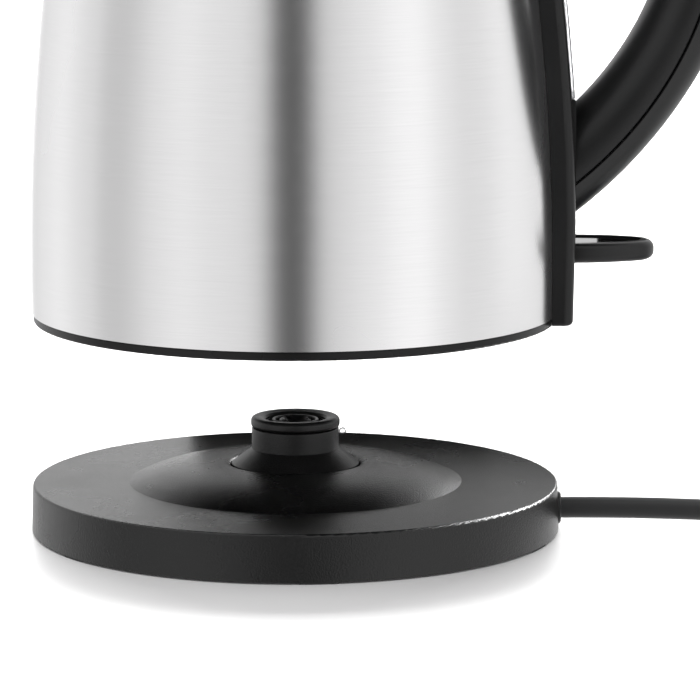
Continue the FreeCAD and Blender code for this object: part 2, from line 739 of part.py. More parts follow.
def build_cord():
    """Bush, inner stretch, clamp, free cord, put-away coil and plug."""
    radius = SIZE["cord_radius"].value
    side = SIZE["cord_side"]
    rise = SIZE["cord_rise"]
    wall = SIZE["base_radius"].value

    body = new_body("cord_bush", rise, at_y=side)
    turned(body, drawn(body, "XZ_Plane", [
        Corner(wall - 22.0, SIZE["cord_radius"]),
        Corner(SIZE["base_radius"] + 1.0, SIZE["cord_radius"]),
        Corner(SIZE["base_radius"] + 1.0, 4.4),
        Corner(SIZE["base_radius"] + 0.6, 5.0),
        Corner(SIZE["base_radius"] - 4.0, 5.0),
        Corner(SIZE["base_radius"] - 4.0, 5.25),
        Corner(SIZE["base_radius"] - 6.6, 5.25),
        Corner(SIZE["base_radius"] - 6.6, 5.0),
        Corner(SIZE["base_radius"] - 22.0, 3.9),
    ]), about="H_Axis")

    body = new_body("cord_inside_base", rise, at_y=side)
    extruded(body, circled(body, "YZ_Plane", [(0, 0, SIZE["cord_radius"])], shift=42.0),
             SIZE["base_radius"] + 1.0 - 42.0, both_ways=False)

    cover = SIZE["foot_rise"] + SIZE["cover_thickness"] + 0.2
    body = new_body("cord_clamp", at_y=side)
    extruded(body, drawn(body, "YZ_Plane", [
        Corner(-10.0, cover),
        Corner(-3.4, cover),
        Corner(-3.4, rise + 3.4, rounded=2.0),
        Corner(3.4, rise + 3.4, rounded=2.0),
        Corner(3.4, cover),
        Corner(10.0, cover),
        Corner(10.0, cover + 6.0, rounded=2.0),
        Corner(5.0, cover + 8.4, rounded=2.0),
        Corner(-5.0, cover + 8.4, rounded=2.0),
        Corner(-10.0, cover + 6.0, rounded=2.0),
    ], shift=45.0), 9.0, both_ways=False)
    extruded(body, circled(body, "XY_Plane", [(49.5, -6.8, 1.2), (49.5, 6.8, 1.2)],
                           shift=cover), 5.0, cut=True, both_ways=False, backwards=True)

    body = new_body("cord_clamp_screws", at_y=side)
    extruded(body, circled(body, "XY_Plane", [(49.5, -6.8, 1.1), (49.5, 6.8, 1.1)],
                           shift=cover + 0.1), 4.6, both_ways=False)

    wires = []
    for offset in (-1, 0, 1):
        start_y = side.value + offset * 1.9
        wires.append(tube_along([
            FreeCAD.Vector(41.9, start_y, rise.value),
            FreeCAD.Vector(26.0, start_y + offset * 2.0, rise.value + 1.5),
            FreeCAD.Vector(9.0, offset * 6.0, rise.value + 4.0),
            FreeCAD.Vector(4.0 + 2.0 * offset, offset * 5.0, SIZE["base_level"].value + 6.4),
        ], SIZE["wire_radius"].value)[0])
    add_shape("base_wires", Part.makeCompound(wires))

    lead, tail = cord_points()
    for label, route in (("power_cord", lead), ("cord_tail", tail)):
        tube, radii = tube_along(route, radius)
        print(label, "arc radii, mm:", [round(bend, 1) for bend in radii])
        add_shape(label, tube)

    coil = SIZE["coil_radius"]
    cord = SIZE["cord_radius"]
    body = new_body("cord_coil", at_x=SIZE["coil_x"], at_y=SIZE["coil_y"])
    turned(body, drawn(body, "XZ_Plane", [
        Corner(coil - 2.0 * cord, 0, rounded=3.0),
        Corner(coil + 2.0 * cord, 0, rounded=3.0),
        Corner(coil + 2.0 * cord, 2.0 * cord, rounded=3.0),
        Corner(coil + cord, 12.4, rounded=3.0),
        Corner(coil - cord, 12.4, rounded=3.0),
        Corner(coil - 2.0 * cord, 2.0 * cord, rounded=3.0),
    ]))
    build_plug(tail[-1], (tail[-1] - tail[-2]))


PLUG_RIM = 6.0


def build_plug(rear, heading):
    """Moulded mains plug with two pins and two side earth contacts, lying on its rim."""
    length = SIZE["plug_length"]
    face = SIZE["plug_radius"]
    body = new_body("plug_body")
    turned(body, drawn(body, "XZ_Plane", [
        Corner(0, 0),
        Corner(length, 0),
        Corner(length, face - 1.0),
        Corner(length - 1.0, face),
        Corner(length - PLUG_RIM, face, bend=110.0),
        Corner(length - 24.0, 9.0),
        Corner(length - 27.0, 6.2),
        Corner(0, SIZE["plug_neck"]),
    ]), about="H_Axis")
    for upward in (1.0, -1.0):
        extruded(body, drawn(body, "YZ_Plane", box_corners(
            -2.6, upward * 16.2, 2.6, upward * 20.0), shift=length - 7.0),
            8.0, cut=True, both_ways=False, backwards=True)
    plug = [body]

    body = new_body("plug_pins")
    half = SIZE["pin_spacing"] / 2.0
    extruded(body, circled(body, "YZ_Plane", [
        (half, 0, SIZE["pin_radius"]), (-half, 0, SIZE["pin_radius"])], shift=length),
        SIZE["pin_length"], both_ways=False)
    softened(body, 1.2, lambda edge: edge.Curve.TypeId == "Part::GeomCircle"
             and edge.CenterOfMass.x > length.value + 1.0)
    plug.append(body)

    body = new_body("plug_earth_clips")
    clips = [extruded(body, drawn(body, "YZ_Plane", box_corners(
        -2.0, upward * 16.2, 2.0, upward * 17.2), shift=length - 6.8), 6.4, both_ways=False)
        for upward in (1.0, -1.0)]
    body.Tip = clips[-1]
    plug.append(body)

    neck = SIZE["plug_neck"].value
    slope = math.atan((face.value - neck) / (length.value - PLUG_RIM))
    yaw = math.atan2(heading.y, heading.x)
    turn = FreeCAD.Rotation(math.degrees(yaw), -math.degrees(slope), 0.0)
    rest = FreeCAD.Vector(rear.x, rear.y, neck * math.cos(slope) + 0.02)
    for item in plug:
        item.Placement = FreeCAD.Placement(rest, turn)


# ---------------------------------------------------------------- kettle body


def build_steel_body():
    """Steel side wall with openings for the spout, the window and the switch."""
    wall = SIZE["steel_wall"]
    bottom = SIZE["steel_bottom"]
    top = SIZE["steel_top"]
    bend = SIZE["side_bend"]
    body = inside_kettle("body_shell")
    turned(body, drawn(body, "XZ_Plane", [
        Corner(body_radius(bottom, -wall), bottom),
        Corner(body_radius(bottom), bottom, bend=bend),
        Corner(body_radius(top), top),
        Corner(body_radius(top) - 5.0, top),
        Corner(body_radius(top) - 5.0, top - wall),
        Corner(body_radius(top - wall, -wall), top - wall, dent=bend - wall),
    ]))
    slot = SIZE["window_slot"]
    extruded(body, drawn(body, "YZ_Plane", box_corners(
        -slot, SIZE["window_bottom"] + 4.0, slot, SIZE["window_top"] - 4.0, rounded=5.0)),
        100.0, cut=True, both_ways=False, backwards=True)
    opening = SIZE["ear_half"] + 0.6
    extruded(body, drawn(body, "YZ_Plane", box_corners(
        -opening, 13.0, opening, 28.0, rounded=3.0)),
        100.0, cut=True, both_ways=False, backwards=True)
    half = SIZE["spout_half"] - 7.0
    extruded(body, drawn(body, "YZ_Plane", [
        Corner(-half, SIZE["steel_top"] - 5.0),
        Corner(-3.0, SIZE["spout_bottom"] + 14.0),
        Corner(3.0, SIZE["spout_bottom"] + 14.0),
        Corner(half, SIZE["steel_top"] - 5.0),
    ]), 100.0, cut=True, both_ways=False)


def build_spout():
    """Pressed V-shaped spout on the outside of the steel."""
    tip = SIZE["spout_tip"]
    half = SIZE["spout_half"]
    low = SIZE["spout_bottom"]
    lip = SIZE["spout_top"]
    wall = SIZE["spout_wall"]
    body = inside_kettle("spout")

    def section(level, reach, spread, inset):
        sketch = new_sketch(body, "XY_Plane", level)
        add_outline(sketch, [
            Corner(-40.0, -spread + inset),
            Corner(-40.0, spread - inset),
            Corner(-(reach - 22.0), spread - inset),
            Corner(-(reach - inset), 3.0),
            Corner(-(reach - inset), -3.0),
            Corner(-(reach - 22.0), -spread + inset),
        ])
        return sketch

    for kind, inset, high in (("Additive", 0.0, lip), ("Subtractive", 1.0, lip + 0.2)):
        inset = wall * inset
        sections = [section(low, body_radius(low) - 0.4 + 1.0, 10.0, inset),
                    section(high, tip, half, inset)]
        loft = body.newObject(f"PartDesign::{kind}Loft", f"{body.Name}{kind}Loft")
        loft.Profile = sections[0]
        loft.Sections = sections[1:]
        loft.Ruled = True
        settled(body, loft)
    turned(body, drawn(body, "XZ_Plane", [
        Corner(0, low - 5.0),
        Corner(body_radius(low - 5.0), low - 5.0, bend=SIZE["side_bend"]),
        Corner(body_radius(SIZE["steel_top"]), SIZE["steel_top"]),
        Corner(body_radius(SIZE["steel_top"]), lip + 5.0),
        Corner(0, lip + 5.0),
    ]), cut=True)


def build_bottom_moulding():
    """Black rim and underside with the recess that clears the base's mound."""
    wall = SIZE["moulding_wall"]
    rim = SIZE["rim_radius"]
    recess = SIZE["recess_radius"]
    depth = SIZE["recess_depth"]
    body = inside_kettle("bottom_moulding")
    turned(body, drawn(body, "XZ_Plane", [
        Corner(recess, 0),
        Corner(rim, 0, rounded=0.7),
        Corner(rim, SIZE["rim_height"]),
        Corner(80.4, SIZE["rim_height"]),
        Corner(80.4, 9.0),
        Corner(78.6, 9.0),
        Corner(78.6, wall + 0.4),
        Corner(recess + wall, wall + 0.4),
        Corner(recess + wall, depth + wall),
        Corner(SIZE["socket_wall"] + 0.2, depth + wall),
        Corner(SIZE["socket_wall"] + 0.2, depth),
        Corner(recess, depth),
    ]))
    circle = SIZE["kettle_screw_circle"]
    sink = extruded(body, circled(body, "XY_Plane", [(-circle, 0, 3.4)]),
                    1.3, cut=True, both_ways=False, backwards=True)
    hole = extruded(body, circled(body, "XY_Plane", [(-circle, 0, 1.7)]),
                    wall + 0.4, cut=True, both_ways=False, backwards=True)
    repeated(body, [sink, hole], 3)
    level = SIZE["base_level"] + SIZE["seat_gap"] + SIZE["lift_travel"]
    build_screws("bottom_screws", circle, as_size(0.3), 14.0, 3, level)


def build_heater():
    """Vessel bottom plate, its seal, the heat spreader and the heating element."""
    level = SIZE["plate_level"]
    radius = SIZE["plate_radius"]
    body = inside_kettle("vessel_bottom_plate")
    turned(body, drawn(body, "XZ_Plane", [
        Corner(0, level),
        Corner(radius, level),
        Corner(radius, level + 6.0),
        Corner(radius - 0.8, level + 6.0),
        Corner(radius - 0.8, level + 0.8),
        Corner(0, level + 0.8),
    ]))
    circle = SIZE["kettle_screw_circle"]
    stud = extruded(body, circled(body, "XY_Plane", [(-circle, 0, 3.6), (-circle, 0, 1.6)],
                                  shift=SIZE["moulding_wall"] + 0.6),
                    level - SIZE["moulding_wall"] - 0.4, both_ways=False)
    repeated(body, [stud], 3)
    extruded(body, circled(body, "XY_Plane", [(56.0, 14.0, 4.1)], shift=level - 1.0),
             4.0, cut=True, both_ways=False, backwards=True)

    body = inside_kettle("vessel_seal")
    turned(body, drawn(body, "XZ_Plane", [
        Corner(radius + 0.05, level + 1.0),
        Corner(body_radius(level + 1.0, -0.9), level + 1.0),
        Corner(body_radius(level + 5.6, -0.9), level + 5.6),
        Corner(radius + 0.05, level + 5.6),
    ]))

    body = inside_kettle("heat_spreader")
    turned(body, drawn(body, "XZ_Plane", [
        Corner(0, level - 1.5),
        Corner(SIZE["diffuser_radius"], level - 1.5),
        Corner(SIZE["diffuser_radius"], level),
        Corner(0, level),
    ]))

    body = inside_kettle("heating_element")
    ring = new_sketch(body, "XZ_Plane")
    drop = level - 1.5 - SIZE["element_radius"]
    add_circle(ring, Corner(-SIZE["element_circle"], drop), SIZE["element_radius"])
    turned(body, ring, angle=300.0)

    body = inside_kettle("element_terminals")
    for side in (1.0, -1.0):
        extruded(body, drawn(body, "XY_Plane", box_corners(
            31.6, side * 20.6 - 2.0, 38.0, side * 20.6 + 2.0), shift=drop - 0.6),
            1.2, both_ways=False)


def build_control():
    """Thermostatic control with the socket that takes the connector."""
    socket = SIZE["socket_radius"]
    collar = SIZE["socket_wall"]
    outer = SIZE["control_radius"]
    end = SIZE["socket_top"]
    body = inside_kettle("control_housing")
    turned(body, drawn(body, "XZ_Plane", [
        Corner(1.6, end),
        Corner(socket, end),
        Corner(socket, 9.6),
        Corner(socket + 0.8, 8.8),
        Corner(collar, 8.8),
        Corner(collar, 10.5),
        Corner(outer, 10.5),
        Corner(outer, 29.0),
        Corner(outer - 2.0, 29.0),
        Corner(outer - 2.0, 13.0),
        Corner(collar + 2.0, 13.0),
        Corner(collar + 2.0, end + 2.0),
        Corner(1.6, end + 2.0),
    ]))

    body = inside_kettle("inlet_pin")
    turned(body, drawn(body, "XZ_Plane", [
        Corner(0, SIZE["contact_tip"]),
        Corner(0.9, SIZE["contact_tip"]),
        Corner(1.6, SIZE["contact_tip"] + 1.2),
        Corner(1.6, end + 3.0),
        Corner(0, end + 3.0),
    ]))
    for label, middle in (("inlet_live_ring", 5.65), ("inlet_neutral_ring", 8.0)):
        body = inside_kettle(label)
        turned(body, drawn(body, "XZ_Plane", box_corners(
            middle - 0.3, SIZE["contact_tip"] + 0.4, middle + 0.3, end)))

    body = inside_kettle("bimetal_discs")
    for side in (17.0, -17.0):
        extruded(body, circled(body, "XY_Plane", [(0, side, 9.0)],
                               shift=SIZE["plate_level"] - 2.1), 0.55, both_ways=False)

    body = inside_kettle("steam_tube")
    extruded(body, circled(body, "XY_Plane", [(56.0, 14.0, 4.0), (56.0, 14.0, 3.4)],
                           shift=26.0), 160.0, both_ways=False)


# ---------------------------------------------------------------- rear column and handle


HANDLE_SCREW_HEIGHTS = (41.5, 57.0)


def build_column():
    """Rear column that follows the steel, with a raised lower rail and the pivot ears."""
    bend = SIZE["side_bend"]
    proud = SIZE["column_proud"]
    face = SIZE["column_face"]
    top = SIZE["column_top"]
    knee = SIZE["column_knee"]
    rail = SIZE["rail_proud"]
    rail_start = 53.0
    window = SIZE["window_bottom"]
    body = inside_kettle("rear_column")
    extruded(body, drawn(body, "XZ_Plane", [
        Corner(50.0, 0.4),
        Corner(SIZE["column_foot"], 0.4),
        Corner(face, knee),
        Corner(body_radius(rail_start, proud), rail_start, bend=bend + proud),
        Corner(body_radius(top, proud), top),
        Corner(50.0, top),
    ]), SIZE["column_half"] * 2.0)

    def long_outer_edge(edge):
        middle = edge.CenterOfMass
        return (abs(abs(middle.y) - SIZE["column_half"].value) < 0.01
                and middle.x > 60.0 and edge.BoundBox.ZLength > 5.0)

    softened(body, 3.0, long_outer_edge)

    def bottom_outer_edge(edge):
        middle = edge.CenterOfMass
        return (middle.z < 0.6 and middle.x > 83.0 and edge.BoundBox.XLength < 0.5
                and edge.BoundBox.YLength > 20.0)

    softened(body, 1.6, bottom_outer_edge)
    extruded(body, drawn(body, "XZ_Plane", [
        Corner(70.0, 44.0),
        Corner(face - 0.02, 44.0),
        Corner(face - 0.02, 66.0, bend=bend + rail),
        Corner(body_radius(window - 0.3, rail), window - 0.3),
        Corner(70.0, window - 0.3),
    ]), SIZE["rail_half"] * 2.0)
    turned(body, drawn(body, "XZ_Plane", [
        Corner(0, -2.0),
        Corner(body_radius(-2.0, 0.05), -2.0, bend=bend + 0.05),
        Corner(body_radius(top + 5.0, 0.05), top + 5.0),
        Corner(0, top + 5.0),
    ]), cut=True)
    recess = 3.3
    half = SIZE["rail_half"] + 0.1
    extruded(body, drawn(body, "XZ_Plane", [
        Corner(body_radius(window, recess), window),
        Corner(95.0, window),
        Corner(95.0, SIZE["window_top"] + 0.2),
        Corner(body_radius(SIZE["window_top"] + 0.2, recess), SIZE["window_top"] + 0.2,
               dent=bend + recess),
    ]), half * 2.0, cut=True)
    slot = SIZE["window_slot"] + 3.0
    extruded(body, drawn(body, "YZ_Plane", box_corners(
        -slot, window + 3.0, slot, SIZE["window_top"] - 3.0)),
        100.0, cut=True, both_ways=False, backwards=True)

    for radius, reach in ((1.6, 90.0), (3.0, 83.5)):
        extruded(body, circled(body, "YZ_Plane", [
            (0, height, radius) for height in HANDLE_SCREW_HEIGHTS]),
                 reach, cut=True, both_ways=False, backwards=True)

    ear = SIZE["ear_half"]
    middle_level = SIZE["lever_bottom"] + SIZE["lever_thickness"] / 2.0
    extruded(body, drawn(body, "XZ_Plane", [
        Corner(SIZE["pivot_x"] - 4.0, middle_level - 3.6, rounded=3.0),
        Corner(84.0, middle_level - 3.6),
        Corner(84.0, middle_level + 3.6),
        Corner(SIZE["pivot_x"] - 4.0, middle_level + 3.6, rounded=3.0),
    ]), ear * 2.0)
    extruded(body, drawn(body, "XZ_Plane", box_corners(
        60.0, SIZE["lever_bottom"] - 3.2, 90.0,
        SIZE["lever_bottom"] + SIZE["lever_thickness"] + 0.8)),
        SIZE["ear_inner"] * 2.0, cut=True)
    extruded(body, circled(body, "XZ_Plane", [
        (SIZE["pivot_x"], middle_level, SIZE["pivot_radius"] + 0.02)]), 60.0, cut=True)


def build_window():
    """Clear water window, its gasket and the level marks' backing."""
    bend = SIZE["side_bend"]
    proud = SIZE["rail_proud"]
    bottom = SIZE["window_bottom"] + 0.1
    top = SIZE["window_top"]
    inner = 3.4
    body = inside_kettle("water_window")
    extruded(body, drawn(body, "XZ_Plane", [
        Corner(body_radius(bottom, inner), bottom),
        Corner(body_radius(bottom, proud), bottom, bend=bend + proud),
        Corner(body_radius(top, proud), top),
        Corner(body_radius(top, inner), top, dent=bend + inner),
    ]), SIZE["rail_half"] * 2.0)

    def outer_long_edge(edge):
        middle = edge.CenterOfMass
        return (abs(abs(middle.y) - SIZE["rail_half"].value) < 0.01
                and edge.BoundBox.ZLength > 50.0
                and middle.x > body_radius(middle.z).value + 4.5)

    softened(body, 0.5, outer_long_edge)

    slot = SIZE["window_slot"] + 2.8
    body = inside_kettle("window_gasket")
    extruded(body, drawn(body, "XZ_Plane", [
        Corner(body_radius(bottom + 3.2, 0.1), bottom + 3.2),
        Corner(body_radius(bottom + 3.2, inner - 0.05), bottom + 3.2, bend=bend + inner - 0.05),
        Corner(body_radius(top - 3.2, inner - 0.05), top - 3.2),
        Corner(body_radius(top - 3.2, 0.1), top - 3.2, dent=bend + 0.1),
    ]), slot * 2.0)
    extruded(body, drawn(body, "YZ_Plane", box_corners(
        -SIZE["window_slot"], bottom + 6.0, SIZE["window_slot"], top - 6.0, rounded=5.0)),
        100.0, cut=True, both_ways=False, backwards=True)
    turned(body, drawn(body, "XZ_Plane", [
        Corner(0, 60.0),
        Corner(body_radius(60.0, 0.1), 60.0, bend=bend + 0.1),
        Corner(body_radius(190.0, 0.1), 190.0),
        Corner(0, 190.0),
    ]), cut=True)


def handle_curve(name, beyond, start=SIZE["grip_start"]):
    """Start, turn and crown of one of the handle's three curves, a distance outside it."""
    middle_x = SIZE[f"{name}_x"]
    middle_z = SIZE[f"{name}_z"]
    bend = SIZE[f"{name}_bend"]
    turn = SIZE[f"{name}_turn"]
    crown = SIZE[f"{name}_crown"]
    turn_x, _ = arc_point(middle_x, middle_z, bend, turn)
    along_x = (turn_x - middle_x) / bend
    along_z = (turn - middle_z) / bend
    crown_x = turn_x - along_x * crown
    crown_z = turn - along_z * crown
    wide = bend + beyond
    start_z = middle_z - (wide * wide - (start - middle_x) * (start - middle_x)).root()
    return {
        "start": (start, start_z),
        "turn": (turn_x + along_x * beyond, turn + along_z * beyond),
        "crown": (crown_x, crown_z + crown + beyond),
        "bend": wide,
        "tight": crown + beyond,
    }


def handle_outline(outside, inside, end):
    """Closed outline between two of the handle's curves."""
    return [
        Corner(*outside["start"], bend=outside["bend"]),
        Corner(*outside["turn"], bend=outside["tight"]),
        Corner(*outside["crown"]),
        Corner(end, outside["crown"][1]),
        Corner(end, inside["crown"][1]),
        Corner(*inside["crown"], dent=inside["tight"]),
        Corner(*inside["turn"], dent=inside["bend"]),
        Corner(*inside["start"]),
    ]


def build_handle():
    """The two shells of the handle, hollow, and the screws that hold it."""
    half_gap = SIZE["parting_gap"] / 2.0
    wall = SIZE["grip_wall"]
    width = SIZE["grip_half"] * 2.0
    end = SIZE["grip_end"]
    deep = SIZE["grip_start"] + 10.0
    shells = (
        ("handle_outer_shell", handle_curve("outer", 0.0), handle_curve("parting", half_gap),
         handle_curve("outer", -wall, deep), handle_curve("parting", -1.0, deep), 1.0),
        ("handle_inner_shell", handle_curve("parting", -half_gap), handle_curve("inner", 0.0),
         handle_curve("parting", 1.0, deep), handle_curve("inner", wall, deep), -1.0),
    )
    for label, outside, inside, hollow_outside, hollow_inside, side in shells:
        body = inside_kettle(label)
        extruded(body, drawn(body, "XZ_Plane", handle_outline(outside, inside, end)), width)
        bent = outside if side > 0 else inside

        def long_edge(edge, bent=bent):
            middle = edge.CenterOfMass
            if abs(abs(middle.y) - SIZE["grip_half"].value) > 0.01:
                return False
            ends = [vertex.Point for vertex in edge.Vertexes]
            marks = [bent["start"], bent["turn"], bent["crown"],
                     (SIZE["grip_end"], bent["crown"][1])]
            touched = sum(
                1 for point in ends for across, up in marks
                if abs(point.x - float(across)) < 0.01 and abs(point.z - float(up)) < 0.01)
            return touched == 2

        softened(body, SIZE["grip_round"], long_edge)
        hollow = handle_outline(hollow_outside, hollow_inside, end + wall)
        extruded(body, drawn(body, "XZ_Plane", hollow), width - wall * 2.0, cut=True)
        if side > 0:
            extruded(body, circled(body, "XY_Plane", [
                (SIZE["button_x"], 0, SIZE["button_radius"] + 0.3)], shift=200.0),
                30.0, cut=True, both_ways=False, backwards=True)

        extruded(body, circled(body, "YZ_Plane", [
            (0, HANDLE_SCREW_HEIGHTS[0 if side > 0 else 1], 1.55)], shift=80.0),
            11.0, cut=True, both_ways=False, backwards=True)

    body = inside_kettle("handle_screws")
    for height in HANDLE_SCREW_HEIGHTS:
        sketch = new_sketch(body, "XZ_Plane")
        add_outline(sketch, [
            Corner(81.8, height),
            Corner(81.8, height - 2.8),
            Corner(83.4, height - 2.8),
            Corner(83.4, height - 1.5),
            Corner(90.5, height - 1.5),
            Corner(90.5, height),
        ])
        shank = body.newObject("PartDesign::Revolution", f"{body.Name}Turn")
        shank.Profile = sketch
        shank.ReferenceAxis = (sketch, ["Edge6"])
        shank.Angle = 360.0
        settled(body, shank)


# ---------------------------------------------------------------- switch


def lever_outline(root, inset):
    """Plan of the lever: straight sides, then a nose of three smooth arcs."""
    half = SIZE["lever_half"] - inset
    tip = SIZE["lever_tip"] - inset
    nose = SIZE["lever_nose"] - inset
    shoulder = SIZE["column_face"]
    reach = tip - shoulder - nose
    flank = (reach * reach + half * half - nose * nose) / (2.0 * (half - nose))
    meet_x = shoulder + reach * flank / (flank - nose)
    meet_y = half - flank + (flank - half) * flank / (flank - nose)
    return [
        Corner(root, -half),
        Corner(shoulder, -half, bend=flank),
        Corner(meet_x, -meet_y, bend=nose),
        Corner(meet_x, meet_y, bend=flank),
        Corner(shoulder, half),
        Corner(root, half),
    ]


def build_switch():
    """Rocker lever with its glossy inlay, pivot pin, trip link and trip spring."""
    bottom = SIZE["lever_bottom"]
    thick = SIZE["lever_thickness"]
    pivot = SIZE["pivot_x"]
    middle = bottom + thick / 2.0
    depth = 1.3
    body = inside_kettle("switch_lever")
    extruded(body, drawn(body, "XY_Plane", lever_outline(SIZE["lever_root"], 0.0),
                         shift=bottom), thick, both_ways=False)

    def nose_edge(edge):
        flat = edge.BoundBox.ZLength < 0.01
        return flat and edge.BoundBox.YLength > 0.01 and edge.CenterOfMass.x > 86.6

    softened(body, 2.5, nose_edge)
    extruded(body, drawn(body, "XY_Plane", lever_outline(
        SIZE["column_face"] - 2.0, SIZE["lever_rim"]), shift=bottom + thick),
        depth, cut=True, both_ways=False)
    extruded(body, circled(body, "XZ_Plane", [(pivot, middle, SIZE["pivot_radius"] + 0.06)]),
             60.0, cut=True)

    body = inside_kettle("switch_inlay")
    extruded(body, drawn(body, "XY_Plane", lever_outline(
        SIZE["column_face"] - 1.9, SIZE["lever_rim"] + 0.08),
        shift=bottom + thick - depth), 0.8, both_ways=False)

    body = inside_kettle("switch_pivot_pin")
    extruded(body, circled(body, "XZ_Plane", [(pivot, middle, SIZE["pivot_radius"])]),
             SIZE["ear_half"] * 2.0 + 0.4)

    body = inside_kettle("trip_link")
    extruded(body, drawn(body, "XZ_Plane", [
        Corner(60.4, 14.6),
        Corner(68.5, 14.6),
        Corner(68.5, 16.0),
        Corner(62.4, 16.0),
        Corner(62.4, 24.0),
        Corner(60.4, 24.0),
    ]), 8.0)

    body = inside_kettle("trip_spring")
    extruded(body, drawn(body, "XZ_Plane", [
        Corner(35.0, 14.0),
        Corner(58.6, 16.0),
        Corner(58.6, 16.4),
        Corner(35.0, 14.4),
    ]), 5.0)


# ---------------------------------------------------------------- top collar and lid


def build_top():
    """Top collar, hinge housing and the two-part filter behind the spout."""
    steel = body_radius(SIZE["steel_top"])
    neck = SIZE["neck_radius"]
    top = SIZE["collar_top"]
    seat = top - 3.6
    body = inside_kettle("top_collar")
    turned(body, drawn(body, "XZ_Plane", [
        Corner(neck, 190.0),
        Corner(neck + 2.0, 190.0),
        Corner(neck + 2.0, SIZE["steel_top"] + 0.1),
        Corner(steel - 0.1, SIZE["steel_top"] + 0.1),
        Corner(steel - 0.1, top, rounded=1.5),
        Corner(SIZE["mouth_radius"], top),
        Corner(SIZE["mouth_radius"], seat),
        Corner(neck, seat),
    ]))

    half = SIZE["housing_half"]
    pin_x = SIZE["hinge_x"]
    pin_level = SIZE["hinge_level"]
    body = inside_kettle("hinge_housing")
    extruded(body, drawn(body, "XZ_Plane", [
        Corner(50.0, 183.2),
        Corner(SIZE["grip_end"] - 0.1, 183.2),
        Corner(SIZE["grip_end"] - 0.1, SIZE["housing_top"], rounded=2.0),
        Corner(pin_x - 3.6, SIZE["housing_top"], rounded=3.0),
        Corner(pin_x - 3.6, top + 0.2),
        Corner(50.0, top + 0.2),
    ]), half * 2.0)
    turned(body, drawn(body, "XZ_Plane", [
        Corner(0, 175.0),
        Corner(body_radius(175.0, 0.05), 175.0, bend=SIZE["side_bend"] + 0.05),
        Corner(body_radius(SIZE["steel_top"], 0.05), SIZE["steel_top"]),
        Corner(steel + 0.05, top + 0.2),
        Corner(0, top + 0.2),
    ]), cut=True)
    extruded(body, drawn(body, "XZ_Plane", box_corners(
        45.0, top - 0.5, pin_x + SIZE["lug_radius"] + 1.2, SIZE["housing_top"] + 5.0)),
        SIZE["lug_half"] * 2.0 + 0.8, cut=True)
    extruded(body, drawn(body, "XZ_Plane", box_corners(
        pin_x + 2.0, pin_level - 1.4, 75.0, pin_level + 1.4)), 8.6, cut=True)
    extruded(body, circled(body, "XZ_Plane", [
        (pin_x, pin_level, SIZE["hinge_radius"] + 0.02)]), 60.0, cut=True)

    for label, near, far, angle in (("filter_frame", 2.8, 1.0, 44.0),
                                    ("filter_mesh", 2.1, 1.8, 24.0)):
        low = 153.0 if label == "filter_frame" else 158.2
        high = 195.1 if label == "filter_frame" else 185.8
        body = inside_kettle(label)
        turned(body, drawn(body, "XZ_Plane", [
            Corner(-body_radius(low, -far), low, dent=SIZE["side_bend"] - far),
            Corner(-body_radius(high, -far), high),
            Corner(-body_radius(high, -near), high, bend=SIZE["side_bend"] - near),
            Corner(-body_radius(low, -near), low),
        ]), angle=angle)
        if label == "filter_frame":
            turned(body, drawn(body, "XZ_Plane", box_corners(-72.0, 158.0, -55.0, 186.0)),
                   cut=True, angle=24.4)


def build_lid():
    """Lid cap, the inner part with its hinge lug, and the seal."""
    edge = SIZE["lid_radius"]
    level = SIZE["lid_level"]
    crown = SIZE["lid_crown"]
    rear = SIZE["lid_rear"]
    rise = crown - level
    dome = (edge * edge + rise * rise) / (2.0 * rise) * 1.03
    sheet = 1.0
    flat = 4.0
    body = inside_kettle("lid_cap")
    turned(body, drawn(body, "XZ_Plane", [
        Corner(edge - sheet, level - 2.0),
        Corner(edge, level - 2.0),
        Corner(edge, level, bend=dome),
        Corner(flat, crown),
        Corner(0, crown),
        Corner(0, crown - sheet),
        Corner(flat, crown - sheet, dent=dome - sheet),
        Corner(edge - sheet, level - sheet * 0.9),
    ]))
    extruded(body, drawn(body, "XY_Plane", box_corners(rear, -60.0, 70.0, 60.0),
                         shift=190.0), 30.0, cut=True, both_ways=False, backwards=True)

    hub = SIZE["hub_radius"]
    plate = level - 3.2
    body = inside_kettle("lid_inner")
    turned(body, drawn(body, "XZ_Plane", [
        Corner(0, 191.0),
        Corner(hub, 191.0),
        Corner(hub, 192.6),
        Corner(hub - 1.6, 192.6),
        Corner(hub - 1.6, 195.4),
        Corner(hub, 195.4),
        Corner(hub, plate),
        Corner(edge - 1.2, plate),
        Corner(edge - 1.2, level - 1.2),
        Corner(0, level - 1.2),
    ]))
    extruded(body, drawn(body, "XY_Plane", box_corners(rear, -60.0, 70.0, 60.0),
                         shift=190.0), 30.0, cut=True, both_ways=False, backwards=True)
    pin_x = SIZE["hinge_x"]
    pin_level = SIZE["hinge_level"]
    lug = SIZE["lug_radius"]
    under = pin_level - lug
    extruded(body, drawn(body, "XZ_Plane", [
        Corner(rear - 4.0, level - 2.6),
        Corner(rear + 2.0, level - 2.6),
        Corner(rear + 2.0, under),
        Corner(pin_x, under, bend=lug),
        Corner(pin_x + lug, pin_level, bend=lug),
        Corner(pin_x, pin_level + lug),
        Corner(rear + 2.6, level + 5.4, rounded=1.5),
        Corner(rear + 0.2, level + 2.8),
        Corner(rear + 0.2, level - 1.2),
        Corner(rear - 4.0, level - 1.2),
    ]), SIZE["lug_half"] * 2.0)
    extruded(body, circled(body, "XZ_Plane", [
        (pin_x, pin_level, SIZE["hinge_radius"] + 0.06)]), 60.0, cut=True)

    body = inside_kettle("lid_seal")
    turned(body, drawn(body, "XZ_Plane", [
        Corner(hub - 1.55, 192.7),
        Corner(SIZE["seal_radius"], 193.4),
        Corner(SIZE["seal_radius"], 194.6),
        Corner(hub - 1.55, 195.3),
    ]))


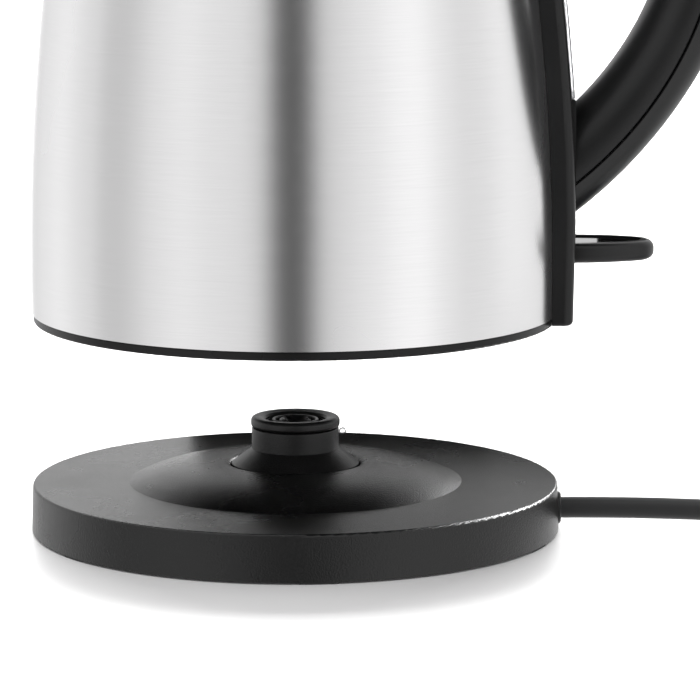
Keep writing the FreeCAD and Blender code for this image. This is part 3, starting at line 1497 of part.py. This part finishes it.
def build_lid_fittings():
    """Hinge pin, catch, button and the button's leaf spring."""
    pin_x = SIZE["hinge_x"]
    pin_level = SIZE["hinge_level"]
    body = inside_kettle("lid_hinge_pin")
    extruded(body, circled(body, "XZ_Plane", [(pin_x, pin_level, SIZE["hinge_radius"])]),
             SIZE["housing_half"] * 2.0 + 0.3)

    body = inside_kettle("lid_catch")
    extruded(body, drawn(body, "XZ_Plane", [
        Corner(pin_x + SIZE["lug_radius"] + 0.5, pin_level - 0.2),
        Corner(pin_x + SIZE["lug_radius"] + 1.6, pin_level - 1.1),
        Corner(66.6, pin_level - 1.1),
        Corner(66.6, pin_level + 1.1),
        Corner(pin_x + SIZE["lug_radius"] + 1.6, pin_level + 1.1),
    ]), 8.0)

    body = inside_kettle("lid_button")
    turned(body, drawn(body, "XZ_Plane", [
        Corner(0, 205.0),
        Corner(SIZE["button_radius"], 205.0),
        Corner(SIZE["button_radius"], SIZE["button_top"] - 0.8, rounded=0.7),
        Corner(SIZE["button_radius"] - 2.0, SIZE["button_top"]),
        Corner(0, SIZE["button_top"]),
    ]))
    body.setExpression("Placement.Base.x", SIZE["button_x"].formula)

    body = inside_kettle("button_spring")
    extruded(body, drawn(body, "XZ_Plane", [
        Corner(76.0, 196.6),
        Corner(92.0, 196.6),
        Corner(92.0, 197.1),
        Corner(79.0, 197.1),
        Corner(88.0, 204.5),
        Corner(87.6, 204.9),
        Corner(76.0, 197.1),
    ]), 5.0)


# ---------------------------------------------------------------- build, check and write


build_base_shell()
build_base_cover()
build_base_screws()
build_base_feet()
build_connector()
build_cord()
build_steel_body()
build_spout()
build_bottom_moulding()
build_heater()
build_control()
build_column()
build_window()
build_handle()
build_switch()
build_top()
build_lid()
build_lid_fittings()
document.recompute()

for item in document.Objects:
    if "Invalid" in item.State or "Error" in item.State:
        raise RuntimeError(f"{item.Name} did not recompute")
for piece in pieces:
    if piece.Shape.isNull() or not piece.Shape.isValid():
        raise RuntimeError(f"{piece.Label} has no valid shape")

os.makedirs("parts", exist_ok=True)
for piece in pieces:
    piece.Shape.exportStep(f"parts/{piece.Label}.step")
print(len(pieces), "pieces written")
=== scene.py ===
import json
import math

import bmesh
import bpy
from mathutils import Matrix, Vector


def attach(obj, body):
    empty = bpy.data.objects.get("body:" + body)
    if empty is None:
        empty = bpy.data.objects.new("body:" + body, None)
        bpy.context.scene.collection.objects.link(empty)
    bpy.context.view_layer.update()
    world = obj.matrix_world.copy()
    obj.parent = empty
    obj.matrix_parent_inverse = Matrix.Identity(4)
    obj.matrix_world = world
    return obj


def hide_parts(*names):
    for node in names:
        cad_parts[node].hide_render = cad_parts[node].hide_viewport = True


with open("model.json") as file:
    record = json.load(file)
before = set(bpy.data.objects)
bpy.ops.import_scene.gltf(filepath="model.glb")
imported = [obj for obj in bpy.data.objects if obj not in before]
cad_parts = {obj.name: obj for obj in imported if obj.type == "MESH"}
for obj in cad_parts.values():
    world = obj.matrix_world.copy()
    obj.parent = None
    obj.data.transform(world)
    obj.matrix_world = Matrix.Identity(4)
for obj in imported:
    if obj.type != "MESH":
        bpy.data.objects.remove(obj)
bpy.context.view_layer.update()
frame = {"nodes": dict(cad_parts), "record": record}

nodes = frame["nodes"]
scene = bpy.context.scene

# Metres, +Z up, floor at z = 0, origin under the middle of the power base. The handle, the
# switch lever and the mains cord point along +X, the spout along -X.


# ---------------------------------------------------------------- materials


def add_node(tree, kind, **values):
    """A shader node with its properties and its socket values set."""
    node = tree.nodes.new(f"ShaderNode{kind}")
    for key, value in values.items():
        if hasattr(node, key):
            setattr(node, key, value)
        else:
            node.inputs[key.replace("_", " ")].default_value = value
    return node


def fill_ramp(node, stops):
    """Gives a colour ramp its stops, each a place from 0 to 1 and a colour."""
    points = node.color_ramp.elements
    while len(points) < len(stops):
        points.new(0.5)
    for point, (place, color) in zip(points, stops):
        point.position = place
        point.color = (*color, 1.0)


class Shader:
    """A node material that starts from one Principled surface."""

    def __init__(self, name, color, rough, **sockets):
        self.material = bpy.data.materials.new(name)
        self.material.use_nodes = True
        self.tree = self.material.node_tree
        self.surface = self.tree.nodes["Principled BSDF"]
        self.set("Base Color", (*color, 1.0))
        self.set("Roughness", rough)
        for socket, value in sockets.items():
            self.set(socket.replace("_", " "), value)
        self.material.diffuse_color = (*color, 1.0)

    def set(self, socket, value):
        self.surface.inputs[socket].default_value = value

    def add(self, kind, **values):
        return add_node(self.tree, kind, **values)

    def link(self, output, target):
        self.tree.links.new(output, target)

    def noise(self, scale, detail, roughness, stretch=(1.0, 1.0, 1.0)):
        """Noise in the object's own metres, drawn out across the larger stretches."""
        place = self.add("TexCoord")
        mapping = self.add("Mapping", Scale=stretch)
        self.link(place.outputs["Object"], mapping.inputs["Vector"])
        node = self.add("TexNoise", Scale=scale, Detail=detail, Roughness=roughness)
        self.link(mapping.outputs["Vector"], node.inputs["Vector"])
        return node.outputs["Fac"]

    def shade(self, factor, dark, light):
        """The base colour drifts a little between two tones."""
        node = self.add("ValToRGB")
        fill_ramp(node, [(0.3, dark), (0.7, light)])
        self.link(factor, node.inputs["Fac"])
        self.link(node.outputs["Color"], self.surface.inputs["Base Color"])

    def vary_roughness(self, factor, low, high):
        """The gloss drifts a little between two roughnesses."""
        spread = self.add("MapRange", From_Min=0.25, From_Max=0.75, To_Min=low, To_Max=high)
        self.link(factor, spread.inputs["Value"])
        self.link(spread.outputs["Result"], self.surface.inputs["Roughness"])

    def bump(self, height, distance, strength):
        """Fine relief, its depth in metres."""
        node = self.add("Bump", Strength=strength, Distance=distance)
        self.link(height, node.inputs["Height"])
        self.link(node.outputs["Normal"], self.surface.inputs["Normal"])


def grey(level):
    """A faintly cool grey."""
    return (level, level, level * 1.03)


def scaled(color, factor):
    return tuple(min(part * factor, 1.0) for part in color)


def moulded(name, level, rough, grain, depth, size=2600.0, **sockets):
    """Moulded plastic: fine grain, slightly uneven tone and gloss."""
    made = Shader(name, grey(level), rough, **sockets)
    fine = made.noise(size, 2.0, 0.5)
    broad = made.noise(38.0, 3.0, 0.55)
    made.shade(broad, grey(level * 0.88), grey(level * 1.12))
    made.vary_roughness(broad, rough - 0.03, rough + 0.03)
    made.bump(fine, depth, grain)
    return made.material


def brushed(name, color, rough, stretch, depth, anisotropy=0.0):
    """Steel sheet with fine brushing lines along the stretched direction."""
    made = Shader(name, color, rough, Metallic=1.0)
    if anisotropy:
        made.set("Anisotropic", anisotropy)
        made.set("Anisotropic Rotation", 0.25)
        tangent = made.add("Tangent", direction_type="RADIAL", axis="Z")
        made.link(tangent.outputs["Tangent"], made.surface.inputs["Tangent"])
    lines = made.noise(1.0, 6.0, 0.75, stretch)
    broad = made.noise(9.0, 3.0, 0.5)
    made.shade(lines, scaled(color, 0.955), scaled(color, 1.03))
    made.vary_roughness(broad, rough - 0.02, rough + 0.02)
    made.bump(lines, depth, 0.6)
    return made.material


def metal(name, color, rough):
    """Metal of a small plated or drawn piece."""
    made = Shader(name, color, rough, Metallic=1.0)
    broad = made.noise(120.0, 4.0, 0.6)
    made.shade(broad, scaled(color, 0.85), color)
    made.vary_roughness(broad, rough - 0.05, rough + 0.08)
    made.bump(made.noise(900.0, 3.0, 0.5), 0.00002, 0.5)
    return made.material


def rubbery(name, color, rough):
    """Soft plastic or rubber, matt and even."""
    made = Shader(name, color, rough)
    broad = made.noise(60.0, 4.0, 0.6)
    made.shade(broad, scaled(color, 0.9), scaled(color, 1.1))
    made.bump(made.noise(1500.0, 3.0, 0.5), 0.00003, 0.5)
    return made.material


def silicone():
    """Milky silicone rubber of the seals."""
    made = Shader("silicone", (0.74, 0.74, 0.71), 0.38)
    made.set("Subsurface Weight", 0.25)
    made.set("Subsurface Radius", (0.004, 0.004, 0.004))
    broad = made.noise(70.0, 3.0, 0.5)
    made.shade(broad, (0.68, 0.68, 0.65), (0.78, 0.78, 0.76))
    made.bump(made.noise(700.0, 2.0, 0.5), 0.00003, 0.4)
    return made.material


# Noise stretches: the lines run level round the vessel, from side to side on the lid, and no
# way in particular inside.
ROUND_VESSEL = (60.0, 60.0, 9000.0)
ACROSS_LID = (60.0, 9000.0, 60.0)
UNBRUSHED = (900.0, 900.0, 900.0)

MATERIALS = {
    "base_plastic": moulded("base_plastic", 0.0018, 0.28, 0.7, 0.00022, 2000.0),
    "cover_plastic": moulded("cover_plastic", 0.035, 0.55, 0.4, 0.0001, 1800.0),
    "foot_rubber": rubbery("foot_rubber", grey(0.03), 0.75),
    "screw_steel": metal("screw_steel", (0.58, 0.58, 0.59), 0.34),
    "connector_plastic": moulded("connector_plastic", 0.012, 0.36, 0.6, 0.0002, 2400.0),
    "contact_brass": metal("contact_brass", (0.74, 0.56, 0.28), 0.30),
    "spring_steel": metal("spring_steel", (0.66, 0.66, 0.67), 0.25),
    "wire_insulation": rubbery("wire_insulation", (0.16, 0.09, 0.05), 0.5),
    "cord_sheath": rubbery("cord_sheath", grey(0.022), 0.42),
    "plug_plastic": moulded("plug_plastic", 0.028, 0.48, 0.5, 0.0001, 1700.0),
    "plug_metal": metal("plug_metal", (0.78, 0.76, 0.72), 0.18),
    "body_steel": brushed("body_steel", (0.90, 0.895, 0.90), 0.27, ROUND_VESSEL, 0.000006,
                          0.75),
    "vessel_steel": brushed("vessel_steel", (0.72, 0.71, 0.70), 0.35, UNBRUSHED, 0.00001),
    "bottom_plastic": moulded("bottom_plastic", 0.008, 0.28, 0.2, 0.00004,
                              Specular_IOR_Level=0.25),
    "column_plastic": moulded("column_plastic", 0.012, 0.30, 0.3, 0.00006,
                              Specular_IOR_Level=0.3),
    "handle_plastic": moulded("handle_plastic", 0.010, 0.34, 0.35, 0.00006,
                              Specular_IOR_Level=0.4),
    "window_plastic": moulded("window_plastic", 0.62, 0.10, 0.1, 0.00002,
                              Transmission_Weight=0.85, IOR=1.49),
    "silicone": silicone(),
    "control_plastic": moulded("control_plastic", 0.42, 0.5, 0.3, 0.00005),
    "bimetal": metal("bimetal", (0.52, 0.50, 0.46), 0.35),
    "spreader_aluminium": metal("spreader_aluminium", (0.72, 0.72, 0.73), 0.38),
    "element_sheath": metal("element_sheath", (0.50, 0.50, 0.50), 0.45),
    "terminal_metal": metal("terminal_metal", (0.70, 0.69, 0.66), 0.28),
    "lever_plastic": moulded("lever_plastic", 0.008, 0.30, 0.3, 0.00005,
                             Specular_IOR_Level=0.4),
    "inlay_plastic": moulded("inlay_plastic", 0.008, 0.07, 0.05, 0.00001),
    "lid_plastic": moulded("lid_plastic", 0.022, 0.30, 0.25, 0.00004),
    "lid_steel": brushed("lid_steel", (0.82, 0.815, 0.81), 0.28, ACROSS_LID, 0.000006),
    "filter_wire": metal("filter_wire", (0.60, 0.60, 0.60), 0.35),
}

for entry in frame["record"]["subparts"]:
    mesh = nodes[entry["node"]].data
    mesh.materials.clear()
    mesh.materials.append(MATERIALS[entry["material_slot"]])


# ---------------------------------------------------------------- mains cord

CORD_RADIUS = 0.0033
COIL = (0.196, 0.0146)
TURN_POINTS = 16
FLOOR_LAYER, TOP_LAYER = 0.0033, 0.0090

# The coil's turns: where each starts and ends, in degrees, its radius and its height.
TURNS = [(-112.0, 230.0, 0.0396, FLOOR_LAYER), (248.0, 590.0, 0.0330, FLOOR_LAYER),
         (608.0, 712.0, 0.0363, TOP_LAYER)]

# The lead runs from the base to the coil's first turn, the tail from its last turn to the plug.
LEAD = [(0.083, -0.003, 0.0066), (0.1335, -0.003, 0.0066), (0.1812, -0.0221, 0.0033)]
TAIL = [(0.2323, 0.0146, 0.0090), (0.2328, 0.0295, 0.0102), (0.2315, 0.0445, 0.0086),
        (0.2250, 0.0605, 0.0042), (0.2120, 0.0725, 0.0034), (0.1965, 0.0785, 0.0043)]


def turn_points(start, end, radius, height):
    """Points along one turn of the coil."""
    count = round((end - start) / 360.0 * TURN_POINTS)
    found = []
    for step in range(count + 1):
        angle = math.radians(start + (end - start) * step / count)
        found.append((COIL[0] + radius * math.cos(angle), COIL[1] + radius * math.sin(angle),
                      height))
    return found


def strand(name, points, radius):
    """A round cord along one smooth NURBS line."""
    curve = bpy.data.curves.new(name, "CURVE")
    curve.dimensions = "3D"
    curve.bevel_depth = radius
    curve.bevel_resolution = 8
    curve.resolution_u = 12
    curve.use_fill_caps = True
    spline = curve.splines.new("NURBS")
    spline.points.add(len(points) - 1)
    for point, spot in zip(spline.points, points):
        point.co = (*spot, 1.0)
    spline.order_u = 3
    spline.use_endpoint_u = True
    piece = bpy.data.objects.new(name, curve)
    scene.collection.objects.link(piece)
    return piece


first, second, third = (turn_points(*turn) for turn in TURNS)
route = LEAD + first[1:] + second[1:] + third + TAIL
cord = strand("mains_cord", route, CORD_RADIUS)
cord.data.materials.append(MATERIALS["cord_sheath"])
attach(cord, "base")
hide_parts("power_cord", "cord_coil", "cord_tail")


# ---------------------------------------------------------------- handle

# The handle's curves, seen from the side. Each is a wide bend that tightens near the top:
# the wide bend's middle, across and up, and its radius, the height where it tightens, and the
# radius at the top, all in metres from the kettle's axis and its bottom edge.
OUTER = (-0.0024, 0.1492, 0.1464, 0.1645, 0.052)
PARTING = (0.0130, 0.1346, 0.1168, 0.163, 0.040)
INNER = (0.0163, 0.1394, 0.1008, 0.1615, 0.028)
KETTLE_LEVEL = 0.0665                      # the kettle's bottom edge over the floor, at rest
GRIP_START, GRIP_END = 0.0861, 0.0702      # across, at the column and at the hinge housing
GRIP_HALF, GRIP_WALL = 0.0145, 0.0026      # half the handle's width, and its wall
PARTING_GAP, PARTING_BEVEL = 0.00022, 0.0004
ROUNDNESS = 2.3                            # 2 is an ellipse, more is squarer
LOWER_STEPS, CROWN_STEPS, STRAIGHT_STEPS, SECTION_STEPS = 56, 22, 6, 14
SHARP_EDGE = math.radians(35.0)
BUTTON_SPOT = (0.084, 0.0, KETTLE_LEVEL + 0.210)
BUTTON_HOLE, HOLE_DEPTH, HOLE_SIDES = 0.0073, 0.012, 64


def grip_line(curve):
    """Points up one of the handle's curves, round its top and on to the hinge housing."""
    across, up, bend, turn, crown = curve
    start = -math.acos((GRIP_START - across) / bend)
    lean = math.asin((turn - up) / bend)
    middle = Vector((across + (bend - crown) * math.cos(lean),
                     up + (bend - crown) * math.sin(lean)))
    points = []
    for centre, size, low, high, steps in (
            (Vector((across, up)), bend, start, lean, LOWER_STEPS),
            (middle, crown, lean, math.pi / 2.0, CROWN_STEPS)):
        for step in range(len(points) > 0, steps + 1):
            angle = low + (high - low) * step / steps
            points.append(centre + size * Vector((math.cos(angle), math.sin(angle))))
    top = points[-1]
    for step in range(1, STRAIGHT_STEPS + 1):
        points.append(Vector((top.x + (GRIP_END - top.x) * step / STRAIGHT_STEPS, top.y)))
    return points


def crowned(share):
    """Half width of a crowned section, from 1 in its middle to 0 at its two edges."""
    return max(0.0, 1.0 - abs(share) ** ROUNDNESS) ** (1.0 / ROUNDNESS)


def shell_ring(inner, outer, parting, edge):
    """One shell's section, first its outside and then its hollow, point by point.

    It lies across the handle between the points inner and outer. The edge is 1 for the outer
    shell and -1 for the inner one, and they part at the third point.
    """
    reach = outer - inner
    half = reach.length / 2.0
    part = 2.0 * (parting - inner).dot(reach) / reach.length_squared - 1.0
    part += edge * PARTING_GAP / half
    rows = []
    for thinner in (0.0, GRIP_WALL):
        limit = 1.0 - thinner / half
        row = []
        for step in range(SECTION_STEPS + 1):
            share = part + (edge * limit - part) * math.sin(math.pi / 2.0 * step / SECTION_STEPS)
            row.append((share, (GRIP_HALF - thinner) * crowned(share / limit)))
        start, wide = row[0]
        if thinner:
            row.insert(1, row[0])
        else:
            row[0] = (start, wide - PARTING_BEVEL)
            row.insert(1, (start + edge * PARTING_BEVEL / half, wide))
        both = [(share, -wide) for share, wide in row]
        both += [(share, wide) for share, wide in reversed(row[:-1])]
        rows.append(both)
    found = []
    for both in rows:
        for share, side in both:
            spot = inner + reach * (1.0 + share) / 2.0
            found.append((spot.x, side, spot.y + KETTLE_LEVEL))
    return found


def placed(name, made):
    """Turns a bmesh into an object of the scene."""
    mesh = bpy.data.meshes.new(name)
    made.to_mesh(mesh)
    made.free()
    piece = bpy.data.objects.new(name, mesh)
    scene.collection.objects.link(piece)
    return piece


def grip_shell(name, edge):
    """One of the handle's two moulded shells, swept up its curves."""
    made = bmesh.new()
    rings = [[made.verts.new(spot) for spot in shell_ring(inner, outer, parting, edge)]
             for inner, outer, parting in zip(*map(grip_line, (INNER, OUTER, PARTING)))]
    count = len(rings[0]) // 2
    loop = list(range(count)) + list(range(2 * count - 1, count - 1, -1))
    for low, high in zip(rings, rings[1:]):
        for here, after in zip(loop, loop[1:] + loop[:1]):
            made.faces.new((low[here], low[after], high[after], high[here]))
    for ring in (rings[0], rings[-1]):
        for step in range(count - 1):
            made.faces.new((ring[step], ring[step + 1],
                            ring[count + step + 1], ring[count + step]))
    bmesh.ops.remove_doubles(made, verts=made.verts, dist=1e-7)
    bmesh.ops.recalc_face_normals(made, faces=made.faces)
    piece = placed(name, made)
    piece.data.shade_smooth()
    piece.data.set_sharp_from_angle(angle=SHARP_EDGE)
    piece.data.materials.append(MATERIALS["handle_plastic"])
    return piece


def bore_button_hole(piece):
    """Cuts the round upright hole that the lid button sits in."""
    made = bmesh.new()
    bmesh.ops.create_cone(made, cap_ends=True, segments=HOLE_SIDES, radius1=BUTTON_HOLE,
                          radius2=BUTTON_HOLE, depth=HOLE_DEPTH,
                          matrix=Matrix.Translation(BUTTON_SPOT))
    drill = placed("drill", made)
    mesh = drill.data
    cut = piece.modifiers.new("hole", "BOOLEAN")
    cut.object = drill
    cut.solver = "EXACT"
    result = bpy.data.meshes.new_from_object(
        piece.evaluated_get(bpy.context.evaluated_depsgraph_get()))
    piece.modifiers.clear()
    old = piece.data
    piece.data = result
    result.name = piece.name
    bpy.data.meshes.remove(old)
    bpy.data.objects.remove(drill)
    bpy.data.meshes.remove(mesh)


outer_grip = grip_shell("handle_outer_grip", 1.0)
bore_button_hole(outer_grip)
inner_grip = grip_shell("handle_inner_grip", -1.0)
for grip, shell in ((outer_grip, "handle_outer_shell"), (inner_grip, "handle_inner_shell")):
    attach(grip, "kettle")
    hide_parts(shell)


# ---------------------------------------------------------------- stage, light and camera


FLOOR_REACH = 2.5


def flat_piece(name, corners, surface):
    """A single four-sided face, for the floor and the cards."""
    mesh = bpy.data.meshes.new(name)
    mesh.from_pydata(corners, [], [(0, 1, 2, 3)])
    mesh.materials.append(surface)
    piece = bpy.data.objects.new(name, mesh)
    scene.collection.objects.link(piece)
    return piece


def build_floor():
    """A plain pale floor, hidden from the steel's reflections."""
    made = Shader("floor_white", (0.80, 0.795, 0.797), 0.5, Specular_IOR_Level=0.05)
    broad = made.noise(3.0, 2.0, 0.5)
    made.shade(broad, (0.79, 0.785, 0.787), (0.81, 0.805, 0.807))
    corners = [(across * FLOOR_REACH, along * FLOOR_REACH, 0.0)
               for across, along in ((-1, -1), (1, -1), (1, 1), (-1, 1))]
    piece = flat_piece("floor", corners, made.material)
    piece.visible_glossy = False
    return piece


def add_card(name, low, high, glow):
    """An upright dark card across the view, which only shows in reflections."""
    made = Shader("flag_black", (0.002, 0.002, 0.002), 1.0, Specular_IOR_Level=0.0,
                  Emission_Color=(1.0, 1.0, 1.0, 1.0), Emission_Strength=glow)
    corners = [low, (high[0], low[1], low[2]), high, (low[0], high[1], high[2])]
    piece = flat_piece(name, corners, made.material)
    piece.visible_camera = False
    piece.visible_diffuse = False
    piece.visible_shadow = False


def add_area(name, spot, aim, size, power):
    """A soft rectangular studio light."""
    lamp = bpy.data.lights.new(name, "AREA")
    lamp.shape = "RECTANGLE"
    lamp.size, lamp.size_y = size
    lamp.energy = power
    piece = bpy.data.objects.new(name, lamp)
    piece.visible_camera = False
    piece.location = spot
    way = Vector(aim) - Vector(spot)
    piece.rotation_euler = way.to_track_quat("-Z", "Y").to_euler()
    scene.collection.objects.link(piece)
    return piece


def collected(name, pieces):
    """A collection of the pieces that a light falls on, or is blocked by."""
    group = bpy.data.collections.new(name)
    for piece in pieces:
        group.objects.link(piece)
    return group


# The room round the kettle: compass angles in degrees, 0 towards -Y, where the camera is, and
# 90 towards +X, and the light's strength there. Soft bright walls stand on both sides of a dark
# gap behind the camera.
ROOM = [(-180, 1.20), (-168, 1.20), (-158, 0.75), (-141, 0.86), (-125, 0.95), (-100, 0.78),
        (-90, 0.61), (-81, 0.61), (-73, 0.70), (-65, 0.82), (-50, 0.91), (-35, 0.83),
        (-21, 0.79), (-15, 0.70), (-11, 0.42), (-7, 0.10), (0, 0.06), (4, 0.08),
        (8, 0.36), (12, 0.66), (19, 0.76), (33, 0.88), (47, 1.03), (55, 1.07), (70, 0.89),
        (79, 0.80), (88, 0.82), (107, 0.96), (135, 0.88), (180, 1.20)]
ROOM_FULL = 1.25                           # the strength that the ramp's white stands for
BACKDROP = 1.05


def build_room():
    """World light whose strength follows the compass angle, and a plain white to look at."""
    world = bpy.data.worlds.new("studio")
    scene.world = world
    world.use_nodes = True
    tree = world.node_tree
    tree.nodes.clear()

    place = add_node(tree, "TexCoord")
    apart = add_node(tree, "SeparateXYZ")
    tree.links.new(place.outputs["Generated"], apart.inputs["Vector"])
    towards = add_node(tree, "Math", operation="MULTIPLY")
    towards.inputs[1].default_value = -1.0
    tree.links.new(apart.outputs["Y"], towards.inputs[0])
    angle = add_node(tree, "Math", operation="ARCTAN2")
    tree.links.new(apart.outputs["X"], angle.inputs[0])
    tree.links.new(towards.outputs["Value"], angle.inputs[1])
    spread = add_node(tree, "MapRange", From_Min=-math.pi, From_Max=math.pi)
    tree.links.new(angle.outputs["Value"], spread.inputs["Value"])
    ramp = add_node(tree, "ValToRGB")
    ramp.color_ramp.interpolation = "EASE"
    fill_ramp(ramp, [((compass + 180.0) / 360.0, (level / ROOM_FULL,) * 3)
                     for compass, level in ROOM])
    tree.links.new(spread.outputs["Result"], ramp.inputs["Fac"])
    lit = add_node(tree, "Background", Strength=ROOM_FULL)
    tree.links.new(ramp.outputs["Color"], lit.inputs["Color"])
    plain = add_node(tree, "Background", Color=(1.0, 1.0, 1.0, 1.0), Strength=BACKDROP)
    sight = add_node(tree, "LightPath")
    mix = add_node(tree, "MixShader")
    tree.links.new(sight.outputs["Is Camera Ray"], mix.inputs["Fac"])
    tree.links.new(lit.outputs["Background"], mix.inputs[1])
    tree.links.new(plain.outputs["Background"], mix.inputs[2])
    out = add_node(tree, "OutputWorld")
    tree.links.new(mix.outputs["Shader"], out.inputs["Surface"])


floor = build_floor()
build_room()

# Light from above, a small light that only glints along the base's top, and a low wash from
# behind that only lights the floor and throws the base's soft shadow forward.
add_area("key_top", (-0.5, -0.2, 1.5), (0.0, 0.0, 0.05), (1.2, 1.2), 6.0)
glint = add_area("back_right", (0.30, 0.36, 0.20), (0.04, 0.0, 0.03), (0.14, 0.14), 1.5)
wash = add_area("floor_wash", (0.0, 2.0, 0.60), (0.0, 0.0, 0.0), (3.0, 0.5), 122.0)
glint.light_linking.receiver_collection = collected("glint_falls_on",
                                                    [nodes["base_top_shell"]])
wash.light_linking.receiver_collection = collected("wash_falls_on", [floor])
wash.light_linking.blocker_collection = collected(
    "wash_blocked_by", [nodes[n] for n in ("base_top_shell", "base_feet", "base_bottom_cover")])

# Cards behind the base and the switch lever, which darken their shiny tops: each card's name,
# its low and high corner, and how much it glows.
for card in (("flag", (-0.035, 0.10, 0.0), (0.066, 0.10, 0.0455), 0.0),
             ("grey_flag", (0.066, 0.10, 0.0), (0.135, 0.10, 0.0455), 0.10),
             ("lever_flag", (0.1035, 0.13, 0.095), (0.130, 0.13, 0.165), 0.0)):
    add_card(*card)

scene.view_settings.view_transform = "Standard"
scene.view_settings.look = "None"

CAMERA_SPOT = (0.0, -1.2626, 0.2693)
CAMERA_DOWN, CAMERA_ASIDE = math.radians(9.579), math.radians(0.7755)
LENS_MM, SENSOR_MM = 211.23, 36.0
CLIP_NEAR, CLIP_FAR = 0.05, 20.0


def build_camera():
    """A long lens in front of the kettle, a little above it."""
    lens = bpy.data.cameras.new("camera")
    lens.sensor_width = SENSOR_MM
    lens.lens = LENS_MM
    lens.clip_start = CLIP_NEAR
    lens.clip_end = CLIP_FAR
    piece = bpy.data.objects.new("camera", lens)
    piece.location = CAMERA_SPOT
    piece.rotation_euler = (math.pi / 2.0 - CAMERA_DOWN, 0.0, -CAMERA_ASIDE)
    scene.collection.objects.link(piece)
    scene.camera = piece


build_camera()
